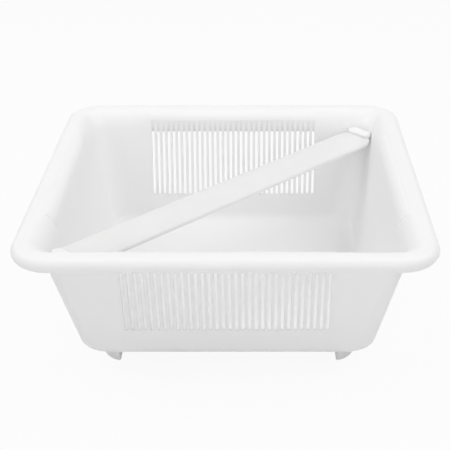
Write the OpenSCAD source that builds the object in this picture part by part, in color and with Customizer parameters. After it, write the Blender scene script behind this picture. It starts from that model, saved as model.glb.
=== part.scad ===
// Square cheese mold: a tapered tub with slotted walls, a diagonal lift bar and the two pegs that hold it.
// Millimetres. Z is up, the feet stand on z = 0, and the bar runs from the -X-Y corner to the +X+Y corner.

/* [Tub] */
// Width over the rim, along X
outer_w = 260; // [240:1:300]
// Depth over the rim, along Y
outer_d = 260; // [240:1:300]
// Height from the foot soles to the top of the rim
height = 102.5; // [95:0.5:120]
// Thickness of the side walls
wall_t = 2.4; // [2:0.1:3]
// Thickness of the base
base_t = 2.6; // [2.2:0.1:4]
// How far the wall's outer face lies inside the rim's edge, level with the middle of the rim
wall_inset = 16.7; // [15:0.1:19]
// How far the foot of the wall lies inside the rim's edge
base_inset = 33.7; // [30:0.1:38]
// Corner radius of the base, seen from above
base_corner_r = 17; // [14:1:22]
// Radius of the rounded edge between base and wall
base_edge_r = 8; // [4:0.5:9]
// Radius of the round between floor and wall inside
floor_edge_r = 6; // [3:0.5:7]

/* [Rim] */
// Corner radius of the rim's outer edge, seen from above
rim_corner_r = 26; // [24:1:32]
// Radius of the roll at the rim's outer edge
roll_r = 5; // [4.6:0.1:7]
// Thickness of the rolled plastic
roll_t = 2.2; // [2:0.1:3]
// How far the roll curls under, in degrees below level
curl_under = 70; // [50:5:80]
// Width of the round shoulder between the rim's top and the wall's inner face
shoulder_w = 13; // [9:0.5:14]
// Height of that shoulder
shoulder_h = 20; // [14:0.5:22]

/* [Slots] */
// Slots in the front wall, and again in the rear wall
slot_count = 32; // [20:1:34]
// Distance from slot to slot
slot_pitch = 4.14; // [3.6:0.02:4.3]
// Width of a slot
slot_w = 2; // [1.4:0.1:2.2]
// Height of the slots' lower end above the base's underside
slot_low = 22.5; // [16:0.5:30]
// Height of the slots' upper end above the base's underside
slot_high = 73; // [55:0.5:74]
// How far the flat panel that the slots are in reaches past the slots at each end
panel_side = 1.2; // [0.6:0.1:3]
// Radius of the round at the top of that panel
panel_r = 9.5; // [5:0.5:11]
// Slope of the panel's top face, in degrees below level
panel_slope = 18; // [14:1:30]

/* [Lift bar] */
// Width of the bar
bar_w = 29; // [26:1:32]
// Height of the bar's long edges
bar_edge_h = 2.2; // [1.8:0.1:4]
// How much higher the middle of the bar is than its edges
bar_crown = 3; // [2:0.1:4]
// Thickness of the bar's skin over the hollow underside
bar_skin = 2.6; // [2.2:0.1:3]
// Height of the bar's underside above the base's underside
bar_low = 71; // [64:0.5:72]
// Gap between the bar's round end and the corner of the tub
bar_end_gap = 0.6; // [0.5:0.1:3]
// Stiffening ribs under the bar
bar_ribs = 7; // [3:1:11]

/* [Pegs] */
// Length of the oval peg head, across the bar
peg_head_l = 20; // [16:0.5:24]
// Width of the oval peg head, along the bar
peg_head_w = 9.5; // [8:0.5:11]
// Height of the peg head
peg_head_h = 3.6; // [2.4:0.1:5]
// Gap between the ends of a peg head and the tub's walls
peg_head_gap = 0.3; // [0.3:0.1:2]
// Diameter of the peg's shank
peg_d = 6; // [5:0.1:7]
// Gap between shank and hole, on the radius
peg_fit = 0.08; // [0.04:0.01:0.1]
// Length of the shank below the bar
peg_reach = 6; // [5.5:0.5:8]

/* [Feet] */
// Height of the feet below the base
foot_h = 13; // [8:0.5:16]
// Distance of a foot's flat inner faces from the middle of the tub
foot_inner = 72; // [66:1:74]
// Radius of a foot's round outer face
foot_r = 16; // [12:0.5:18]
// How far the centre of that round lies back from the flat inner faces
foot_back = 3.5; // [0:0.5:5]
// Radius that softens a foot's upright edges
foot_edge_r = 1.8; // [1:0.1:2.5]

/* [Hidden] */

// Points on each rounded corner of a ring, and facets on a full circle
corner_steps = 10;
round_fn = 64;
// Small overlap that lets neighbouring solids fuse
bite = 0.5;

half_w = outer_w / 2;
half_d = outer_d / 2;
base_z = foot_h;
rim_z = height - roll_r;
// Slope of the walls: how far they lean out for each millimetre of height
lean = (base_inset - wall_inset) / (rim_z - base_z);
lean_angle = atan(lean);
// Shift between a wall's outer and inner face, measured level
wall_shift = wall_t / cos(lean_angle);

// Inset of the wall's outer face at a height
function wall_at(z) = wall_inset + (rim_z - z) * lean;
function inner_at(z) = wall_at(z) + wall_shift;

// Corner radius of the tub at an inset: it follows the rim's edge and eases towards the base's radius
wall_corner_r = rim_corner_r - wall_inset;
function corner_at(inset) =
    inset < wall_inset ? rim_corner_r - inset
    : wall_corner_r + (base_corner_r - wall_corner_r) * (inset - wall_inset) / (base_inset - wall_inset);

// A ring of points: a rounded rectangle at an inset from the rim's edge, at height z
function ring(inset, z, r) = [
    for (corner = [0:3], step = [0:corner_steps])
        let (
            turn = 90 * (corner + step / corner_steps),
            sx = (corner == 0 || corner == 3) ? 1 : -1,
            sy = corner < 2 ? 1 : -1
        )
        [
            sx * (half_w - inset - r) + r * cos(turn),
            sy * (half_d - inset - r) + r * sin(turn),
            z
        ]
];

// Stations [inset, z] along an arc, in degrees from the outward level direction
function arc(inset, z, r, from, to, steps) = [
    for (i = [0:steps])
        let (a = from + (to - from) * i / steps)
        [inset - r * cos(a), z + r * sin(a)]
];

// The skin of a tub-like body, lofted through rings at the given stations and closed by flat end faces
module loft(stations) {
    count = 4 * (corner_steps + 1);
    last = len(stations) - 1;
    points = [for (s = stations) each ring(s[0], s[1], corner_at(s[0]))];
    sides = [
        for (i = [0:last - 1], k = [0:count - 1])
            let (a = i * count + k, b = i * count + (k + 1) % count)
            each [[a, a + count, b], [b, a + count, b + count]]
    ];
    first_face = [for (k = [0:count - 1]) k];
    last_face = [for (k = [count - 1:-1:0]) last * count + k];
    polyhedron(points, concat([first_face, last_face], sides), convexity = 8);
}

// Stations of the tub's section, from the middle of the underside round the rim to the inside floor
outer_edge_z = base_z + base_edge_r;
outer_edge = arc(
    wall_at(outer_edge_z) + base_edge_r / cos(lean_angle), outer_edge_z, base_edge_r,
    -90, -lean_angle, 4
);
// The shoulder is a quarter of an oval that starts level at the rim's top and ends in line with the wall
shoulder_z = height - shoulder_h;
shoulder_turn = atan(shoulder_w / (shoulder_h * lean));
shoulder_end_z = shoulder_z + shoulder_h * cos(shoulder_turn);
shoulder_inset = inner_at(shoulder_end_z) - shoulder_w * sin(shoulder_turn);

// Stations along the shoulder, a depth below its surface; turns are in degrees from its level top
function shoulder(depth, from, to, steps) = [
    for (i = [0:steps])
        let (a = from + (to - from) * i / steps)
        [shoulder_inset + (shoulder_w - depth) * sin(a), shoulder_z + (shoulder_h - depth) * cos(a)]
];

rim_hollow = concat(
    shoulder(wall_t, shoulder_turn, 0, 5),
    arc(roll_r, rim_z, roll_r - roll_t, 90, -curl_under, 7)
);
rim_outside = concat(
    arc(roll_r, rim_z, roll_r, -curl_under, 90, 10),
    shoulder(0, 0, shoulder_turn, 8)
);
inner_edge_z = base_z + base_t + floor_edge_r;
inner_edge = arc(
    inner_at(inner_edge_z) + floor_edge_r / cos(lean_angle), inner_edge_z, floor_edge_r,
    -lean_angle, -90, 5
);

tub_section = concat(outer_edge, rim_hollow, rim_outside, inner_edge);
wall_solid = concat(outer_edge, [[wall_at(shoulder_end_z), shoulder_end_z]]);

// The diagonal that the bar lies on, and how far a round end can reach along it at an inset from the rim
diagonal = atan2(half_d, half_w);
function reach_at(inset, r) = norm([half_w - inset - r, half_d - inset - r]) + r;

bar_z = base_z + bar_low;
bar_end_r = max(bar_w / 2, corner_at(inner_at(bar_z)));
bar_reach = reach_at(inner_at(bar_z) + bar_end_gap, bar_end_r);
bar_top_z = bar_z + bar_edge_h + bar_crown;
// The level that a peg's head sits on, its straight length, and the peg's place along the diagonal
seat_z = bar_top_z - bar_crown * 0.6;
seat_gap = 0.4;
head_straight = peg_head_l - peg_head_w;
peg_at = reach_at(inner_at(seat_z) + peg_head_gap, peg_head_w / 2) - peg_head_w / 2 - head_straight / 2;

// Corner ledges under the bar's ends: tongues with a round front
ledge_t = 5;
ledge_r = bar_w * 0.24;

slot_row = (slot_count - 1) * slot_pitch + slot_w;
panel_l = slot_row + 2 * panel_side;
slot_low_z = base_z + slot_low;
slot_high_z = base_z + slot_high;
// The thin land left at a slot's upper end, from where a groove runs straight up the inside
groove_land = 0.5;

// The flat panel around the slots carries the wall on up past the shoulder. Its sloping top face touches
// the shoulder where that has the same slope, and a round joins the top face to the wall's inner face.
// The two plain walls have the same panel.
panel_turn = atan(tan(panel_slope) * shoulder_w / shoulder_h);
panel_top = shoulder(0, panel_turn, panel_turn, 1)[0];
panel_run = (inner_at(panel_top[1]) - panel_top[0]) / (cos(panel_slope) - lean * sin(panel_slope));
panel_cut = panel_r * tan((90 - panel_slope - lean_angle) / 2);
panel_round_z = panel_top[1] - panel_run * sin(panel_slope)
    - panel_cut * cos(lean_angle) - panel_r * sin(lean_angle);
panel_section = concat(
    arc(
        inner_at(panel_round_z) - panel_r / cos(lean_angle), panel_round_z, panel_r,
        180 - lean_angle, 90 + panel_slope, 5
    ),
    shoulder(wall_t / 3, panel_turn, shoulder_turn, 6)
);

// A copy on the +X+Y end of the diagonal, and its twin on the -X-Y end
module both_ends() {
    rotate(diagonal) children();
    rotate(diagonal + 180) children();
}

// A section given as stations, drawn out along X in the middle of a wall on the +Y side
module along_wall(stations, length, half = half_d) {
    rotate([90, 0, 90])
        linear_extrude(length, center = true)
            polygon([for (p = stations) [half - p[0], p[1]]]);
}

// One row of slots through the +Y wall; above its slot each cut runs on as a groove in the panel's face
module slot_row_cut() {
    inside = inner_at(slot_low_z) + bite;
    outside = wall_at(slot_high_z) - 1;
    groove = wall_at(slot_high_z) + groove_land;
    section = [
        [inside, slot_low_z],
        [outside, slot_low_z],
        [outside, slot_high_z],
        [groove, slot_high_z],
        [groove, height],
        [inside, height]
    ];
    for (i = [0:slot_count - 1])
        translate([(i - (slot_count - 1) / 2) * slot_pitch, 0, 0])
            along_wall(section, slot_w);
}

// A tongue that stands out of the tub's corner under the bar
module corner_ledge() {
    translate([peg_at, -ledge_r, bar_z - ledge_t])
        cube([rim_corner_r, 2 * ledge_r, ledge_t]);
    translate([peg_at, 0, bar_z - ledge_t])
        cylinder(r = ledge_r, h = ledge_t, $fn = round_fn);
}

// The hole in a ledge for the peg's shank
module ledge_bore() {
    translate([peg_at, 0, bar_z - ledge_t - bite])
        cylinder(r = peg_d / 2 + peg_fit, h = ledge_t + 2 * bite, $fn = round_fn);
}

// A foot under the +X+Y corner: flat faces towards the middle, a round face towards the corner
module foot() {
    linear_extrude(base_z + bite)
        offset(r = foot_edge_r, $fn = round_fn)
            offset(delta = -foot_edge_r)
                intersection() {
                    translate([foot_inner - foot_back, foot_inner - foot_back])
                        circle(r = foot_r, $fn = 2 * round_fn);
                    translate([foot_inner, foot_inner]) square(foot_r);
                }
}

// The moulded tub with its rolled rim, slotted and plain panels, corner ledges and feet
module tub() {
    color("white")
        difference() {
            union() {
                loft(tub_section);
                intersection() {
                    loft(wall_solid);
                    both_ends() corner_ledge();
                }
                for (my = [0, 1])
                    mirror([0, my, 0]) along_wall(panel_section, panel_l);
                for (turn = [90, -90])
                    rotate(turn) along_wall(panel_section, panel_l, half_w);
                for (mx = [0, 1], my = [0, 1])
                    mirror([mx, 0, 0]) mirror([0, my, 0]) foot();
            }
            both_ends() ledge_bore();
            for (my = [0, 1])
                mirror([0, my, 0]) slot_row_cut();
        }
}

// A long round under the bar's crowned top, lowered by a depth
module crown(depth) {
    crown_r = (pow(bar_w / 2, 2) + pow(bar_crown, 2)) / (2 * bar_crown);
    translate([0, 0, bar_top_z - crown_r - depth])
        rotate([0, 90, 0])
            cylinder(r = crown_r, h = 2 * bar_reach + 2, center = true, $fn = 8 * round_fn);
}

// The hollow bays between the ribs under the bar, with roofs that follow the crown
module bar_bays() {
    hollow_w = bar_w - 2 * bar_skin;
    hollow_l = 2 * (peg_at - ledge_r - bar_skin);
    bay = hollow_l / (bar_ribs + 1);
    rib_t = bar_skin / 2;
    intersection() {
        crown(bar_skin);
        for (i = [0:bar_ribs])
            translate([i * bay - hollow_l / 2 + rib_t / 2, -hollow_w / 2, bar_z - bite])
                cube([bay - rib_t, hollow_w, bar_top_z - bar_z]);
    }
}

// The lift bar: crowned top, round ends, hollow ribbed underside, and a seat and hole for each peg
module lift_bar() {
    color("white")
        difference() {
            rotate(diagonal)
                difference() {
                    intersection() {
                        translate([0, 0, bar_z])
                            rotate(90) oval(bar_reach, bar_w / 2, bar_edge_h + bar_crown);
                        crown(0);
                    }
                    bar_bays();
                }
            both_ends()
                translate([peg_at, 0, seat_z])
                    oval(peg_head_l / 2 + seat_gap, peg_head_w / 2 + seat_gap, bar_crown);
            both_ends()
                translate([peg_at, 0, bar_z - bite])
                    cylinder(r = peg_d / 2 + peg_fit, h = bar_top_z - bar_z, $fn = round_fn);
        }
}

// A flat oval block lying across X: half length along Y, half width along X
module oval(half_l, half_wide, h) {
    linear_extrude(h) {
        square([2 * half_wide, 2 * (half_l - half_wide)], center = true);
        for (side = [-1, 1])
            translate([0, side * (half_l - half_wide)]) circle(r = half_wide, $fn = round_fn);
    }
}

// Half of the peg head's section: flat below, rounded at the upper edge
module head_half_section() {
    edge_r = peg_head_h / 2;
    square([peg_head_w / 2 - edge_r, peg_head_h]);
    square([peg_head_w / 2, peg_head_h - edge_r]);
    translate([peg_head_w / 2 - edge_r, peg_head_h - edge_r]) circle(r = edge_r, $fn = round_fn);
}

// An oval-headed peg in its hole at the +X end of the diagonal
module peg() {
    tip = peg_d * 0.15;
    translate([peg_at, 0, seat_z]) {
        rotate([90, 0, 0])
            linear_extrude(head_straight, center = true) {
                head_half_section();
                mirror([1, 0]) head_half_section();
            }
        for (end = [0, 180])
            rotate(end)
                translate([0, head_straight / 2, 0])
                    rotate_extrude(angle = 180, $fn = round_fn) head_half_section();
    }
    translate([peg_at, 0, bar_z - peg_reach + tip])
        cylinder(d = peg_d, h = seat_z + bite - bar_z + peg_reach - tip, $fn = round_fn);
    translate([peg_at, 0, bar_z - peg_reach])
        cylinder(d1 = peg_d - 2 * tip, d2 = peg_d, h = tip, $fn = round_fn);
}

module rear_peg() {
    color("white") rotate(diagonal) peg();
}

module front_peg() {
    color("white") rotate(diagonal + 180) peg();
}

tub();
lift_bar();
rear_peg();
front_peg();
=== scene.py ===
# %% [markdown]
# # A square cheese mold
# The object is a white moulded tub with a rolled rim, two rows of drain slots, a bar across
# one diagonal for lifting it, and two oval-headed pegs that hold the bar in the corners.
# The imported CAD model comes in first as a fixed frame. It gives the true sizes and the joints,
# and every piece made here rides on one of its bodies.

# %% Load the frame
import math

import bmesh
import bpy
from mathutils import Matrix, Vector


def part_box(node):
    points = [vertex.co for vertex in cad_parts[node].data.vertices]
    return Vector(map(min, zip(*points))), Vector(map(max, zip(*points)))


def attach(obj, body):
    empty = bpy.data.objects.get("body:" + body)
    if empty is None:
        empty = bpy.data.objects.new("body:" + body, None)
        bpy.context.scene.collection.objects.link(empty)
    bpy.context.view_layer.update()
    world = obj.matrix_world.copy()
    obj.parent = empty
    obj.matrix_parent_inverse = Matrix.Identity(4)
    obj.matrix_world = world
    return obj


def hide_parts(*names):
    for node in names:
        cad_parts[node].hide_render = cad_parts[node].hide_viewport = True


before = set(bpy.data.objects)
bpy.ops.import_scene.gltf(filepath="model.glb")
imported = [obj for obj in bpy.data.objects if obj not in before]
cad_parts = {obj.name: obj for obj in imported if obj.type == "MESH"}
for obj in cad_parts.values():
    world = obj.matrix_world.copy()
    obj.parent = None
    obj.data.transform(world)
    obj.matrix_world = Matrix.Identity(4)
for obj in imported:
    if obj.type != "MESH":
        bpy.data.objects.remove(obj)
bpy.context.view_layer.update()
mm = 0.001

# %% [markdown]
# ## The tub's wall, as a line
# A tub like this is one sheet of plastic, so its whole form is a section line that runs round a
# rounded square. Each point of the line is a pair: how far it lies inside the rim's edge, and
# its height. Straight walls need only their two ends, with a point beside each end that keeps the
# shading flat in between. The curved parts are arcs.

# %% Driving sizes of the tub
rim_half = 130 * mm
rim_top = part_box("tub")[1][2]
base_z = 13 * mm
wall_t = 2.4 * mm
base_t = 2.6 * mm
wall_inset = 16.7 * mm
base_inset = 33.7 * mm
base_corner = 17 * mm
base_edge = 8 * mm
floor_edge = 6 * mm
rim_corner = 26 * mm
roll_r = 5 * mm
roll_t = 2.2 * mm
curl_under = math.radians(70)
shoulder_w = 13 * mm
shoulder_h = 20 * mm

rim_z = rim_top - roll_r
lean = (base_inset - wall_inset) / (rim_z - base_z)
lean_angle = math.atan(lean)
wall_shift = wall_t / math.cos(lean_angle)
print(f"walls lean {math.degrees(lean_angle):.1f} degrees, rim top at {rim_top / mm:.1f} mm")


# %% Where the wall lies, and how round its corners are
def wall_at(z):
    """Inset of the wall's outer face at a height."""
    return wall_inset + (rim_z - z) * lean


def inner_at(z):
    """Inset of the wall's inner face at a height."""
    return wall_at(z) + wall_shift


def corner_at(inset):
    """Corner radius at an inset: parallel under the rim, then easing to the base's radius."""
    if inset < wall_inset:
        return rim_corner - inset
    wall_corner = rim_corner - wall_inset
    ease = (inset - wall_inset) / (base_inset - wall_inset)
    return wall_corner + (base_corner - wall_corner) * ease


def arc(inset, z, radius, start, end, steps):
    """Section points on an arc; angles in radians from the level outward direction."""
    angles = [start + (end - start) * i / steps for i in range(steps + 1)]
    return [(inset - radius * math.cos(a), z + radius * math.sin(a)) for a in angles]


print(f"inner face at mid height lies {inner_at(rim_z / 2) / mm:.1f} mm inside the rim's edge")

# %% The section line, from the underside round the rim to the inside floor
edge_steps = 8
inner_steps = 12
hollow_steps = 16
rim_steps = 24

edge_z = base_z + base_edge
outer_edge = arc(
    wall_at(edge_z) + base_edge / math.cos(lean_angle), edge_z, base_edge,
    math.radians(-90), -lean_angle, edge_steps,
)

shoulder_z = rim_top - shoulder_h
shoulder_turn = math.atan(shoulder_w / (shoulder_h * lean))
shoulder_end_z = shoulder_z + shoulder_h * math.cos(shoulder_turn)
shoulder_inset = inner_at(shoulder_end_z) - shoulder_w * math.sin(shoulder_turn)


def shoulder(depth, start, end, steps):
    """Section points on the oval shoulder inside the rim, a depth below its surface."""
    turns = [start + (end - start) * i / steps for i in range(steps + 1)]
    across = shoulder_w - depth
    up = shoulder_h - depth
    return [(shoulder_inset + across * math.sin(a), shoulder_z + up * math.cos(a)) for a in turns]


lip_r = roll_r - roll_t / 2
lip = arc(
    roll_r - lip_r * math.cos(curl_under), rim_z - lip_r * math.sin(curl_under), roll_t / 2,
    math.pi - curl_under, 2 * math.pi - curl_under, edge_steps,
)
hollow_roll = arc(roll_r, rim_z, roll_r - roll_t, math.pi / 2, -curl_under, hollow_steps)
outside_roll = arc(roll_r, rim_z, roll_r, -curl_under, math.pi / 2, rim_steps)
rim_hollow = shoulder(wall_t, shoulder_turn, 0, inner_steps) + hollow_roll[1:]
rim_outside = outside_roll[:-1] + shoulder(0, 0, shoulder_turn, rim_steps)

inner_edge_z = base_z + base_t + floor_edge
inner_edge = arc(
    inner_at(inner_edge_z) + floor_edge / math.cos(lean_angle), inner_edge_z, floor_edge,
    -lean_angle, math.radians(-90), inner_steps,
)

hold = 0.9 * mm


def hold_flat(face_at, low, high):
    """A point just inside each end of a straight wall, so that shading stays flat between them."""
    return [(face_at(z), z) for z in (low + hold, high - hold)]


outer_wall = hold_flat(wall_at, outer_edge[-1][1], rim_hollow[0][1])
inner_wall = hold_flat(inner_at, inner_edge[0][1], shoulder_end_z)
section = (
    outer_edge + outer_wall + rim_hollow + lip[1:-1] + rim_outside + inner_wall[::-1] + inner_edge
)
print("section points:", len(section))

# %% [markdown]
# ## From line to shell
# Every section point becomes a ring: a square face whose four corners are rounded by a vertex
# bevel. The faces are then dropped, and neighbouring rings are joined with bridge_loops. Scaling
# one ring up would be quicker, but the corner radius would grow with it, and on the real tub it
# shrinks from the rim to the wall. The first and last faces stay as the underside and the floor.

# %% Rings and bridges
corner_segments = 16


def ring(bm, inset, z):
    """One rounded square as a face."""
    square = bmesh.ops.create_grid(
        bm, x_segments=1, y_segments=1, size=rim_half - inset, matrix=Matrix.Translation((0, 0, z)))
    rounded = bmesh.ops.bevel(
        bm, geom=square["verts"], offset=corner_at(inset), offset_type="OFFSET", affect="VERTICES",
        segments=corner_segments, profile=0.5, material=-1)
    return rounded["verts"][0].link_faces[0]


def object_from(bm, name):
    """Closes a bmesh into a new object at the origin."""
    bmesh.ops.recalc_face_normals(bm, faces=bm.faces)
    mesh = bpy.data.meshes.new(name)
    bm.to_mesh(mesh)
    bm.free()
    obj = bpy.data.objects.new(name, mesh)
    bpy.context.scene.collection.objects.link(obj)
    return obj


shell = bmesh.new()
rings = [ring(shell, inset, z) for inset, z in section]
loops = [list(face.edges) for face in rings]
bmesh.ops.delete(shell, geom=rings[1:-1], context="FACES_ONLY")
for lower, upper in zip(loops, loops[1:]):
    bmesh.ops.bridge_loops(shell, edges=lower + upper)
bmesh.ops.inset_region(shell, faces=[rings[0], rings[-1]], thickness=hold, use_even_offset=True)
bmesh.ops.recalc_face_normals(shell, faces=shell.faces)
shell_cm3 = shell.calc_volume() / (10 * mm) ** 3
print(f"tub shell: {len(shell.faces)} faces, {shell_cm3:.0f} cubic centimetres of plastic")
tub = object_from(shell, "tub_shell")

# %% [markdown]
# ## What is moulded onto the shell
# Around the slots the wall is a flat panel that carries on up past the round shoulder, so it shows
# as a darker, straight-ended band under the rim. The two plain walls have the same panel. In two
# corners a tongue carries the bar. Under the base stand four feet with a round outer face. Each is
# a flat outline that is extruded, and a Boolean union melts it into the shell, as one shot of
# plastic would.

# %% Helpers: an outline drawn out into a solid, and Booleans
plate_segments = 12
corner_sliver = 0.015


def moved_verts(result):
    """The vertices among the new geometry of an extrude or a copy."""
    return [v for v in result["geom"] if isinstance(v, bmesh.types.BMVert)]


def along_x(bm, outline, length):
    """A solid from an outline of (inset, z) points in the rear wall, drawn out along X."""
    face = bm.faces.new([bm.verts.new((-length / 2, rim_half - inset, z)) for inset, z in outline])
    drawn = bmesh.ops.extrude_face_region(bm, geom=[face])
    bmesh.ops.translate(bm, vec=(length, 0, 0), verts=moved_verts(drawn))


def rounded_plate(bm, x, y, radii, low, high):
    """An upright solid on a rectangle; radii are for its (-x-y), (+x-y), (-x+y), (+x+y) corners.

    A bevel stops just short of the next corner, so the sliver between two full corners is merged.
    """
    plan = bmesh.ops.create_grid(bm, x_segments=1, y_segments=1, size=0.5)["verts"]
    bmesh.ops.scale(bm, vec=(x[1] - x[0], y[1] - y[0], 1), verts=plan)
    bmesh.ops.translate(bm, vec=((x[0] + x[1]) / 2, (y[0] + y[1]) / 2, low), verts=plan)
    for corner, radius in zip(plan, radii):
        rounded = bmesh.ops.bevel(
            bm, geom=[corner], offset=radius, offset_type="OFFSET", affect="VERTICES",
            segments=plate_segments, profile=0.5, material=-1)
    raised = bmesh.ops.extrude_face_region(bm, geom=[rounded["verts"][0].link_faces[0]])
    bmesh.ops.translate(bm, vec=(0, 0, high - low), verts=moved_verts(raised))
    bmesh.ops.remove_doubles(bm, verts=bm.verts, dist=corner_sliver * max(radii))


def repeat_round(bm, count):
    """Repeats everything in the bmesh at equal turns round the tub, so that it is there count times."""
    first = bm.verts[:] + bm.edges[:] + bm.faces[:]
    for i in range(1, count):
        copy = bmesh.ops.duplicate(bm, geom=first)
        turn = Matrix.Rotation(2 * math.pi * i / count, 3, "Z")
        bmesh.ops.rotate(bm, cent=(0, 0, 0), matrix=turn, verts=moved_verts(copy))


def combine(target, bm, name, operation):
    """Adds or cuts the bmesh's solids, and keeps the result as the target's own mesh."""
    tool = object_from(bm, name)
    boolean = target.modifiers.new(name, "BOOLEAN")
    boolean.object = tool
    boolean.operation = operation
    boolean.solver = "EXACT"
    boolean.use_self = True
    evaluated = target.evaluated_get(bpy.context.evaluated_depsgraph_get())
    result = bpy.data.meshes.new_from_object(evaluated)
    target.modifiers.clear()
    target.data = result
    bpy.data.objects.remove(tool)
    print(f"{operation.lower()} {name}: {len(result.polygons)} faces")


# %% The flat panels in the walls
slot_count = 32
slot_pitch = 4.14 * mm
slot_w = 2 * mm
slot_row = (slot_count - 1) * slot_pitch + slot_w
panel_side = 1.2 * mm
panel_r = 9.5 * mm
panel_slope = math.radians(18)
panel_sunk = wall_t / 3

panel_turn = math.atan(math.tan(panel_slope) * shoulder_w / shoulder_h)
top_inset, top_z = shoulder(0, panel_turn, panel_turn, 1)[0]
panel_run = (inner_at(top_z) - top_inset) / (math.cos(panel_slope) - lean * math.sin(panel_slope))
panel_cut = panel_r * math.tan((math.pi / 2 - panel_slope - lean_angle) / 2)
round_z = (
    top_z - panel_run * math.sin(panel_slope)
    - panel_cut * math.cos(lean_angle) - panel_r * math.sin(lean_angle)
)
flush = 0.02 * mm
panel_outline = (
    [(inner_at(shoulder_end_z) - flush, shoulder_end_z)]
    + arc(
        inner_at(round_z) - panel_r / math.cos(lean_angle), round_z, panel_r,
        math.pi - lean_angle, math.pi / 2 + panel_slope, edge_steps)
    + shoulder(panel_sunk, panel_turn, shoulder_turn, edge_steps)
)
panels = bmesh.new()
along_x(panels, panel_outline, slot_row + 2 * panel_side)
repeat_round(panels, 4)
combine(tub, panels, "wall_panels", "UNION")

# %% Where the bar and its pegs lie along the diagonal
bar_z = base_z + 71 * mm
bar_w = 29 * mm
bar_edge_h = 2.2 * mm
bar_crown = 3 * mm
bar_skin = 2.6 * mm
bar_end_gap = 0.6 * mm
seat_share = 0.6
peg_head_l = 20 * mm
peg_head_w = 9.5 * mm
peg_head_h = 3.6 * mm
peg_head_gap = 0.3 * mm
peg_d = 6 * mm
peg_fit = 0.08 * mm
peg_reach = 6 * mm


def reach_at(inset, radius):
    """How far a round end can go along the diagonal, at an inset from the rim's edge."""
    return (rim_half - inset - radius) * math.sqrt(2) + radius


bar_reach = reach_at(inner_at(bar_z) + bar_end_gap, bar_w / 2)
bar_top = bar_z + bar_edge_h + bar_crown
seat_z = bar_top - bar_crown * seat_share
head_inset = inner_at(seat_z) + peg_head_gap
peg_at = reach_at(head_inset, peg_head_w / 2) - peg_head_l / 2
diagonal = Matrix.Rotation(math.radians(45), 3, "Z")
print(f"bar reaches {bar_reach / mm:.1f} mm along the diagonal, pegs stand at {peg_at / mm:.1f} mm")

# %% The corner ledges under the bar
ledge_t = 5 * mm
ledge_share = 0.24

ledge_half = bar_w * ledge_share
ledge_out = reach_at(inner_at(bar_z), corner_at(inner_at(bar_z))) + wall_t / 2
ledges = bmesh.new()
rounded_plate(
    ledges, (peg_at - ledge_half, ledge_out), (-ledge_half, ledge_half),
    (ledge_half, ledge_half / 2, ledge_half, ledge_half / 2), bar_z - ledge_t, bar_z)
bmesh.ops.rotate(ledges, cent=(0, 0, 0), matrix=diagonal, verts=ledges.verts)
repeat_round(ledges, 2)
combine(tub, ledges, "corner_ledges", "UNION")

# %% The feet
foot_inner = 72 * mm
foot_r = 16 * mm
foot_back = 3.5 * mm
foot_edge = 1.8 * mm
sole_edge = 0.8 * mm
sunk = 0.5 * mm
foot_sides = 36
foot_segments = 6
sole_segments = 4

feet = bmesh.new()
bmesh.ops.create_circle(
    feet, cap_ends=True, segments=foot_sides, radius=foot_r,
    matrix=Matrix.Translation((foot_inner - foot_back, foot_inner - foot_back, 0)))
for inward in ((1, 0, 0), (0, 1, 0)):
    bmesh.ops.bisect_plane(
        feet, geom=feet.verts[:] + feet.edges[:] + feet.faces[:], dist=flush,
        plane_co=(foot_inner, foot_inner, 0), plane_no=inward, clear_inner=True)
corners = [v for v in feet.verts if min(v.co.x, v.co.y) < foot_inner + flush]
bmesh.ops.bevel(
    feet, geom=corners, offset=foot_edge, offset_type="OFFSET", affect="VERTICES",
    segments=foot_segments, profile=0.5, material=-1)
raised = bmesh.ops.extrude_face_region(feet, geom=feet.faces[:])
bmesh.ops.translate(feet, vec=(0, 0, base_z + sunk), verts=moved_verts(raised))
soles = [e for e in feet.edges if all(v.co.z < flush for v in e.verts)]
bmesh.ops.bevel(
    feet, geom=soles, offset=sole_edge, offset_type="OFFSET", affect="EDGES",
    segments=sole_segments, profile=0.5, material=-1)
repeat_round(feet, 4)
combine(tub, feet, "feet", "UNION")

# %% [markdown]
# ## What is cut out of the shell
# The slots go right through the front and rear walls. The steel blades that form them are drawn
# straight up out of the mold, so above each slot they leave an upright groove in the panel that
# gets shallower until it runs out. The slots are one outline, repeated along the row.

# %% The slots and their grooves
slot_low = base_z + 22.5 * mm
slot_high = base_z + 73 * mm
groove_land = 0.5 * mm
cut_past = 1 * mm

inside = inner_at(slot_low) + cut_past
outside = wall_at(slot_high) - cut_past
groove = wall_at(slot_high) + groove_land
slot_outline = [
    (inside, slot_low),
    (outside, slot_low),
    (outside, slot_high),
    (groove, slot_high),
    (groove, rim_top + wall_t),
    (inside, rim_top + wall_t),
]
slots = bmesh.new()
along_x(slots, slot_outline, slot_w)
first_slot = slots.verts[:] + slots.edges[:] + slots.faces[:]
bmesh.ops.translate(slots, vec=(-(slot_count - 1) / 2 * slot_pitch, 0, 0), verts=slots.verts)
for i in range(1, slot_count):
    copy = bmesh.ops.duplicate(slots, geom=first_slot)
    bmesh.ops.translate(slots, vec=(i * slot_pitch, 0, 0), verts=moved_verts(copy))
repeat_round(slots, 2)
combine(tub, slots, "slots", "DIFFERENCE")

# %% The peg holes in the ledges
bore_sides = 64


def peg_bores(z):
    """A round cutter on each peg's axis, with its middle at a height."""
    radius = peg_d / 2 + peg_fit
    bores = bmesh.new()
    bmesh.ops.create_cone(
        bores, cap_ends=True, segments=bore_sides, radius1=radius, radius2=radius, depth=2 * ledge_t,
        matrix=Matrix.Translation((peg_at, 0, z)))
    bmesh.ops.rotate(bores, cent=(0, 0, 0), matrix=diagonal, verts=bores.verts)
    repeat_round(bores, 2)
    return bores


combine(tub, peg_bores(bar_z - ledge_t / 2), "ledge_holes", "DIFFERENCE")

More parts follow.
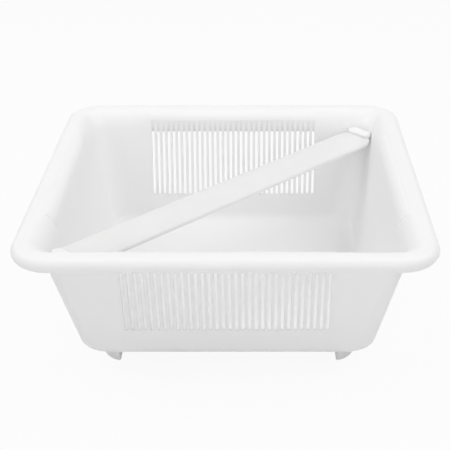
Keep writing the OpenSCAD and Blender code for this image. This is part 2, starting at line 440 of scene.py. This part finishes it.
# %% [markdown]
# ## The lift bar
# The bar is a shallow channel with round ends: a crowned top that is kind to the fingers, and a
# hollow underside with cross ribs, because a thick solid bar would shrink and sink as it cools.
# An oblong plan is extruded, its top is cut into lengthwise strips, and each strip's points are
# lifted by the crown's formula. The long edges are softened with an edge bevel.

# %% A crowned top for a flat-topped solid
strip_digits = 5
crown_r = ((bar_w / 2) ** 2 + bar_crown ** 2) / (2 * bar_crown)


def crown_top(bm, level):
    """Cuts the faces at a level into lengthwise strips and lifts them into the bar's crown."""
    def on_top(v):
        return abs(v.co.z - level) < flush

    for y in sorted({round(v.co.y, strip_digits) for v in bm.verts}):
        top = [f for f in bm.faces if all(on_top(v) for v in f.verts)]
        parts = {e for f in top for e in f.edges} | {v for f in top for v in f.verts}
        bmesh.ops.bisect_plane(
            bm, geom=top + list(parts), dist=flush, plane_co=(0, y, 0), plane_no=(0, 1, 0))
    lifted = [v for v in bm.verts if on_top(v)]
    for v in lifted:
        v.co.z += math.sqrt(crown_r ** 2 - v.co.y ** 2) - crown_r + bar_crown
    return lifted


print(f"the crown's radius across the bar is {crown_r / mm:.1f} mm")

# %% The bar's blank, with soft edges
bar_soft = 1.0 * mm
bar_segments = 5
upright = 0.1

blank = bmesh.new()
rounded_plate(
    blank, (-bar_reach, bar_reach), (-bar_w / 2, bar_w / 2), (bar_w / 2,) * 4,
    bar_z, bar_z + bar_edge_h)
crowned = set(crown_top(blank, bar_z + bar_edge_h))
bmesh.ops.recalc_face_normals(blank, faces=blank.faces)
outline = [
    e for e in blank.edges
    if crowned.issuperset(e.verts) and any(abs(f.normal.z) < upright for f in e.link_faces)
]
bmesh.ops.bevel(
    blank, geom=outline, offset=bar_soft, offset_type="OFFSET", affect="EDGES",
    segments=bar_segments, profile=0.5, material=-1)
bmesh.ops.rotate(blank, cent=(0, 0, 0), matrix=diagonal, verts=blank.verts)
bar = object_from(blank, "lift_bar_moulding")
print("bar:", len(bar.data.polygons), "faces")

# %% The hollow bays under the bar
bar_ribs = 7
bay_corner = 1.5 * mm
hollow_half = bar_w / 2 - bar_skin
hollow_l = 2 * (peg_at - ledge_half - bar_skin)
bay = hollow_l / (bar_ribs + 1)
rib_t = bar_skin / 2

bays = bmesh.new()
roof = bar_z + bar_edge_h - bar_skin
for i in range(bar_ribs + 1):
    start = i * bay - hollow_l / 2 + rib_t / 2
    rounded_plate(
        bays, (start, start + bay - rib_t), (-hollow_half, hollow_half), (bay_corner,) * 4,
        bar_z - ledge_t, roof)
crown_top(bays, roof)
bmesh.ops.rotate(bays, cent=(0, 0, 0), matrix=diagonal, verts=bays.verts)
combine(bar, bays, "bar_bays", "DIFFERENCE")

# %% The seats and holes for the pegs
seat_gap = 0.4 * mm
seat_half_l = peg_head_l / 2 + seat_gap
seat_half_w = peg_head_w / 2 + seat_gap

seats = bmesh.new()
rounded_plate(
    seats, (peg_at - seat_half_w, peg_at + seat_half_w), (-seat_half_l, seat_half_l),
    (seat_half_w,) * 4, seat_z, seat_z + bar_crown)
bmesh.ops.rotate(seats, cent=(0, 0, 0), matrix=diagonal, verts=seats.verts)
repeat_round(seats, 2)
combine(bar, peg_bores(bar_z), "bar_holes", "DIFFERENCE")
combine(bar, seats, "peg_seats", "DIFFERENCE")

# %% [markdown]
# ## The pegs
# A peg is a button with a stem: an oval head with a rounded upper edge that lies across the bar,
# and a round shank with a chamfered tip. Head and shank are two simple solids made into one.

# %% The two pegs
head_share = 0.47
head_segments = 6
tip_share = 0.15
tip_segments = 2


def make_peg(name, turn):
    """A peg at one end of the diagonal."""
    head = bmesh.new()
    rounded_plate(
        head, (peg_at - peg_head_w / 2, peg_at + peg_head_w / 2), (-peg_head_l / 2, peg_head_l / 2),
        (peg_head_w / 2,) * 4, seat_z, seat_z + peg_head_h)
    upper = [e for e in head.edges if all(v.co.z > seat_z + peg_head_h - flush for v in e.verts)]
    bmesh.ops.bevel(
        head, geom=upper, offset=peg_head_h * head_share, offset_type="OFFSET", affect="EDGES",
        segments=head_segments, profile=0.5, material=-1)
    spin = Matrix.Rotation(turn, 3, "Z")
    bmesh.ops.rotate(head, cent=(0, 0, 0), matrix=spin, verts=head.verts)
    peg = object_from(head, name)
    shank = bmesh.new()
    low = bar_z - peg_reach
    high = seat_z + sunk
    bmesh.ops.create_cone(
        shank, cap_ends=True, segments=bore_sides, radius1=peg_d / 2, radius2=peg_d / 2,
        depth=high - low, matrix=Matrix.Translation((peg_at, 0, (low + high) / 2)))
    end = [e for e in shank.edges if all(v.co.z < low + flush for v in e.verts)]
    bmesh.ops.bevel(
        shank, geom=end, offset=peg_d * tip_share, offset_type="OFFSET", affect="EDGES",
        segments=tip_segments, profile=0.5, material=-1)
    bmesh.ops.rotate(shank, cent=(0, 0, 0), matrix=spin, verts=shank.verts)
    combine(peg, shank, name + "_shank", "UNION")
    return peg


rear_peg = make_peg("rear_peg_button", math.radians(45))
front_peg = make_peg("front_peg_button", math.radians(225))

# %% [markdown]
# ## Moulded plastic
# All pieces are white plastic, but no moulded surface is perfectly even. Two effects are shared as
# node groups: a fine skin left by the tool's finish, with slow flow marks, and thin handling marks
# that catch the light. Each material places them with its own values. White plastic also lets some
# light into its surface, which softens the edges of slots and rims, so the shader has some
# subsurface scattering.


# %% Node group: the moulded skin
def group_value(group, name, direction):
    """One named number on a node group's interface."""
    group.interface.new_socket(name=name, in_out=direction, socket_type="NodeSocketFloat")


def new_node(tree, kind, **settings):
    """A node with its properties set."""
    node = tree.nodes.new(kind)
    for key, value in settings.items():
        setattr(node, key, value)
    return node


def noise(tree, vector, scale, detail, roughness=0.5):
    """A noise texture on a vector."""
    node = new_node(tree, "ShaderNodeTexNoise")
    node.inputs["Scale"].default_value = scale
    node.inputs["Detail"].default_value = detail
    node.inputs["Roughness"].default_value = roughness
    tree.links.new(vector, node.inputs["Vector"])
    return node.outputs["Fac"]


def remap(tree, value, low, high, to_low, to_high):
    """A value's range stretched onto another, clamped."""
    node = new_node(tree, "ShaderNodeMapRange", clamp=True)
    node.inputs["From Min"].default_value = low
    node.inputs["From Max"].default_value = high
    node.inputs["To Min"].default_value = to_low
    node.inputs["To Max"].default_value = to_high
    tree.links.new(value, node.inputs["Value"])
    return node.outputs["Result"]


grain_detail = 3
flow_scale = 26
flow_detail = 4
flow_roughness = 0.55
flow_low = 0.35
flow_high = 0.65

skin = bpy.data.node_groups.new("moulded skin", "ShaderNodeTree")
group_value(skin, "Grain", "INPUT")
group_value(skin, "Height", "OUTPUT")
group_value(skin, "Flow", "OUTPUT")
skin_in = new_node(skin, "NodeGroupInput")
skin_out = new_node(skin, "NodeGroupOutput")
place = new_node(skin, "ShaderNodeTexCoord").outputs["Object"]
grain = new_node(skin, "ShaderNodeTexNoise")
grain.inputs["Detail"].default_value = grain_detail
skin.links.new(place, grain.inputs["Vector"])
skin.links.new(skin_in.outputs["Grain"], grain.inputs["Scale"])
skin.links.new(grain.outputs["Fac"], skin_out.inputs["Height"])
flow = remap(
    skin, noise(skin, place, flow_scale, flow_detail, flow_roughness), flow_low, flow_high, 0, 1)
skin.links.new(flow, skin_out.inputs["Flow"])
print("group:", skin.name, [item.name for item in skin.interface.items_tree])

# %% Node group: handling marks
mark_turn = (0.3, 0.2, 0.7)
mark_stretch = (22, 420, 160)
mark_detail = 2
mark_low = 0.66
mark_high = 0.78
patch_scale = 14
patch_detail = 3
patch_low = 0.45
patch_high = 0.7

marks = bpy.data.node_groups.new("handling marks", "ShaderNodeTree")
group_value(marks, "Amount", "INPUT")
group_value(marks, "Mask", "OUTPUT")
marks_in = new_node(marks, "NodeGroupInput")
marks_out = new_node(marks, "NodeGroupOutput")
place = new_node(marks, "ShaderNodeTexCoord").outputs["Object"]
stretch = new_node(marks, "ShaderNodeMapping")
stretch.inputs["Rotation"].default_value = mark_turn
stretch.inputs["Scale"].default_value = mark_stretch
marks.links.new(place, stretch.inputs["Vector"])
lines = remap(
    marks, noise(marks, stretch.outputs["Vector"], 1, mark_detail), mark_low, mark_high, 0, 1)
patches = remap(marks, noise(marks, place, patch_scale, patch_detail), patch_low, patch_high, 0, 1)
both = new_node(marks, "ShaderNodeMath", operation="MULTIPLY")
marks.links.new(lines, both.inputs[0])
marks.links.new(patches, both.inputs[1])
strength = new_node(marks, "ShaderNodeMath", operation="MULTIPLY")
marks.links.new(both.outputs[0], strength.inputs[0])
marks.links.new(marks_in.outputs["Amount"], strength.inputs[1])
marks.links.new(strength.outputs[0], marks_out.inputs["Mask"])
print("group:", marks.name, [item.name for item in marks.interface.items_tree])

# %% The plastics
plastic_ior = 1.49
shine = 0.35
scatter = 0.5
scatter_reach = 3 * mm
scatter_colours = (1, 1, 1)
mark_dulling = 0.22
relief_depth = 0.03 * mm


def plastic(name, white, shade, gloss, dull, grain_size, bump, wear):
    """A moulded white plastic: two close whites, a roughness range, a grain and some marks."""
    material = bpy.data.materials.new(name)
    material.use_nodes = True
    tree = material.node_tree
    surface = tree.nodes["Principled BSDF"]
    surface.inputs["IOR"].default_value = plastic_ior
    surface.inputs["Specular IOR Level"].default_value = shine
    surface.inputs["Subsurface Weight"].default_value = scatter
    surface.inputs["Subsurface Radius"].default_value = scatter_colours
    surface.inputs["Subsurface Scale"].default_value = scatter_reach
    skin_node = new_node(tree, "ShaderNodeGroup", node_tree=skin)
    skin_node.inputs["Grain"].default_value = grain_size
    marks_node = new_node(tree, "ShaderNodeGroup", node_tree=marks)
    marks_node.inputs["Amount"].default_value = wear
    tint = new_node(tree, "ShaderNodeMix", data_type="RGBA")
    tint.inputs["A"].default_value = (*shade, 1)
    tint.inputs["B"].default_value = (*white, 1)
    tree.links.new(skin_node.outputs["Flow"], tint.inputs["Factor"])
    tree.links.new(tint.outputs["Result"], surface.inputs["Base Color"])
    base_rough = remap(tree, skin_node.outputs["Flow"], 0, 1, dull, gloss)
    rubbed = new_node(tree, "ShaderNodeMath", operation="ADD", use_clamp=True)
    tree.links.new(base_rough, rubbed.inputs[0])
    tree.links.new(remap(tree, marks_node.outputs["Mask"], 0, 1, 0, mark_dulling), rubbed.inputs[1])
    tree.links.new(rubbed.outputs[0], surface.inputs["Roughness"])
    depth = new_node(tree, "ShaderNodeMath", operation="SUBTRACT")
    tree.links.new(skin_node.outputs["Height"], depth.inputs[0])
    tree.links.new(marks_node.outputs["Mask"], depth.inputs[1])
    relief = new_node(tree, "ShaderNodeBump")
    relief.inputs["Strength"].default_value = bump
    relief.inputs["Distance"].default_value = relief_depth
    tree.links.new(depth.outputs[0], relief.inputs["Height"])
    tree.links.new(relief.outputs["Normal"], surface.inputs["Normal"])
    print("material:", name)
    return material


tub_plastic = plastic(
    "tub plastic", white=(0.945, 0.945, 0.945), shade=(0.935, 0.935, 0.932), gloss=0.38, dull=0.46,
    grain_size=900, bump=0.35, wear=0.5)
# The bar is the same white plastic as the tub; its greyer whites are painted shade, for the lesser
# light it gets below the rim.
bar_plastic_painted_shade = plastic(
    "bar plastic with painted shade", white=(0.85, 0.85, 0.85), shade=(0.837, 0.837, 0.834), gloss=0.34, dull=0.42,
    grain_size=1100, bump=0.3, wear=0.7)
peg_plastic = plastic(
    "peg plastic", white=(0.93, 0.93, 0.93), shade=(0.92, 0.92, 0.92), gloss=0.24, dull=0.3,
    grain_size=1400, bump=0.2, wear=0.4)

# %% [markdown]
# ## Finishing each piece
# Mould tools have no knife edges, so the sharp edges of the tub and the pegs get a hair of roundness
# from a Bevel modifier. Its hardened normals keep the big flat walls flat under smooth shading. The
# modifier makes the whole bevel as thin as the shortest edge allows, and Booleans leave a few very
# short ones, so points that lie closer together than the roundness are merged first. The bar's long
# edges are soft already. Its other edges are only marked sharp, because its peg seats run out to
# nothing at the bar's ends, and there is no room for a bevel there.

# %% Shading and soft edges
crease = math.radians(38)
edge_segments = 2
tub_edge = 0.12 * mm
peg_edge = 0.1 * mm


def finish_piece(obj, material):
    """Smooth shading and the material."""
    obj.data.materials.clear()
    obj.data.materials.append(material)
    obj.data.shade_smooth()


def soften_edges(obj, width):
    """Merges what lies closer than a width, then rounds every sharp edge by that width."""
    welded = bmesh.new()
    welded.from_mesh(obj.data)
    bmesh.ops.remove_doubles(welded, verts=welded.verts, dist=width)
    welded.to_mesh(obj.data)
    welded.free()
    soft = obj.modifiers.new("soft edges", "BEVEL")
    soft.width = width
    soft.segments = edge_segments
    soft.limit_method = "ANGLE"
    soft.angle_limit = crease
    soft.harden_normals = True


finish_piece(tub, tub_plastic)
soften_edges(tub, tub_edge)
finish_piece(bar, bar_plastic_painted_shade)
bar.data.set_sharp_from_angle(angle=crease)
for peg in (rear_peg, front_peg):
    finish_piece(peg, peg_plastic)
    soften_edges(peg, peg_edge)
print("finished:", [f"{o.name} {len(o.data.polygons)} faces" for o in (tub, bar, rear_peg, front_peg)])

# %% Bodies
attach(tub, "tub")
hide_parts("tub")

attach(bar, "lift_bar")
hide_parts("lift_bar")

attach(rear_peg, "rear_peg")
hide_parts("rear_peg")

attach(front_peg, "front_peg")
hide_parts("front_peg")
print("pieces:", [o.name for o in (tub, bar, rear_peg, front_peg)])

# %% [markdown]
# ## Floor, light and camera
# The look is a cut-out: white all round, with soft light from above, from the sides and from the
# front. The floor is a real surface that catches the mold's shadow, but most of what is seen of it
# is plain white. The camera stands a little to the right, looking down at the front wall.


# %% Which rays see plain white
def seen_directly(tree):
    """One for rays that come from the eye, from a gloss or through something clear; zero for light."""
    rays = new_node(tree, "ShaderNodeLightPath")
    seen = rays.outputs["Is Camera Ray"]
    for kind in ("Is Glossy Ray", "Is Transmission Ray"):
        either = new_node(tree, "ShaderNodeMath", operation="MAXIMUM")
        tree.links.new(seen, either.inputs[0])
        tree.links.new(rays.outputs[kind], either.inputs[1])
        seen = either.outputs[0]
    return seen


# %% The floor
floor_size = 6.0
floor_grey = 0.8
floor_white = 0.92

ground = bmesh.new()
bmesh.ops.create_grid(
    ground, x_segments=1, y_segments=1, size=floor_size / 2, matrix=Matrix.Translation((0, 0, -flush)))
floor = object_from(ground, "floor")
floor_paint = bpy.data.materials.new("floor white")
floor_paint.use_nodes = True
tree = floor_paint.node_tree
tree.nodes.clear()
matte = new_node(tree, "ShaderNodeBsdfDiffuse")
matte.inputs["Color"].default_value = (floor_grey, floor_grey, floor_grey, 1)
glow = new_node(tree, "ShaderNodeEmission")
seen = new_node(tree, "ShaderNodeMath", operation="MULTIPLY")
seen.inputs[1].default_value = floor_white
blend = new_node(tree, "ShaderNodeMixShader")
out = new_node(tree, "ShaderNodeOutputMaterial")
tree.links.new(seen_directly(tree), seen.inputs[0])
tree.links.new(seen.outputs[0], blend.inputs["Fac"])
tree.links.new(matte.outputs[0], blend.inputs[1])
tree.links.new(glow.outputs[0], blend.inputs[2])
tree.links.new(blend.outputs[0], out.inputs["Surface"])
floor.data.materials.append(floor_paint)
print("floor:", floor.name)

# %% The world: soft light for the object, white for the eye
sky_strength = 0.435
pure_white = (1, 1, 1, 1)

world = bpy.data.worlds.new("studio")
bpy.context.scene.world = world
world.use_nodes = True
tree = world.node_tree
tree.nodes.clear()
soft = new_node(tree, "ShaderNodeBackground")
soft.inputs["Color"].default_value = pure_white
soft.inputs["Strength"].default_value = sky_strength
white = new_node(tree, "ShaderNodeBackground")
white.inputs["Color"].default_value = pure_white
pick = new_node(tree, "ShaderNodeMixShader")
out = new_node(tree, "ShaderNodeOutputWorld")
tree.links.new(seen_directly(tree), pick.inputs["Fac"])
tree.links.new(soft.outputs[0], pick.inputs[1])
tree.links.new(white.outputs[0], pick.inputs[2])
tree.links.new(pick.outputs[0], out.inputs["Surface"])
print("world:", world.name)


# %% The lamps
def softbox(name, place, size, watts):
    """A square area lamp that faces the middle of the tub."""
    lamp = bpy.data.lights.new(name, "AREA")
    lamp.size = size
    lamp.energy = watts
    obj = bpy.data.objects.new(name, lamp)
    obj.location = place
    aim = Vector((0, 0, rim_top / 2)) - Vector(place)
    obj.rotation_euler = aim.to_track_quat("-Z", "Y").to_euler()
    bpy.context.scene.collection.objects.link(obj)


softbox("top", place=(0, 0.1, 1.2), size=1.2, watts=2.8)
softbox("left", place=(-0.8, 0, 1.0), size=0.9, watts=3.9)
softbox("right", place=(0.8, 0, 1.0), size=0.9, watts=3.8)
softbox("front", place=(0, -1.3, 0.25), size=0.8, watts=3.9)

# %% The camera
image_w = 450
focal_px = 998.88
centre_px = 257.4
sensor_w = 36
eye = Vector((19.4 * mm, -635.5 * mm, 389.6 * mm))
look_down = math.radians(27.5)

camera = bpy.data.cameras.new("camera")
camera.sensor_width = sensor_w
camera.lens = focal_px / image_w * sensor_w
camera.shift_x = (image_w / 2 - centre_px) / image_w
viewer = bpy.data.objects.new("camera", camera)
viewer.location = eye
viewer.rotation_euler = (math.pi / 2 - look_down, 0, 0)
bpy.context.scene.collection.objects.link(viewer)
bpy.context.scene.camera = viewer
bpy.context.scene.view_settings.view_transform = "Standard"
print(f"camera: lens {camera.lens:.1f} mm, {math.degrees(look_down):.1f} degrees down")
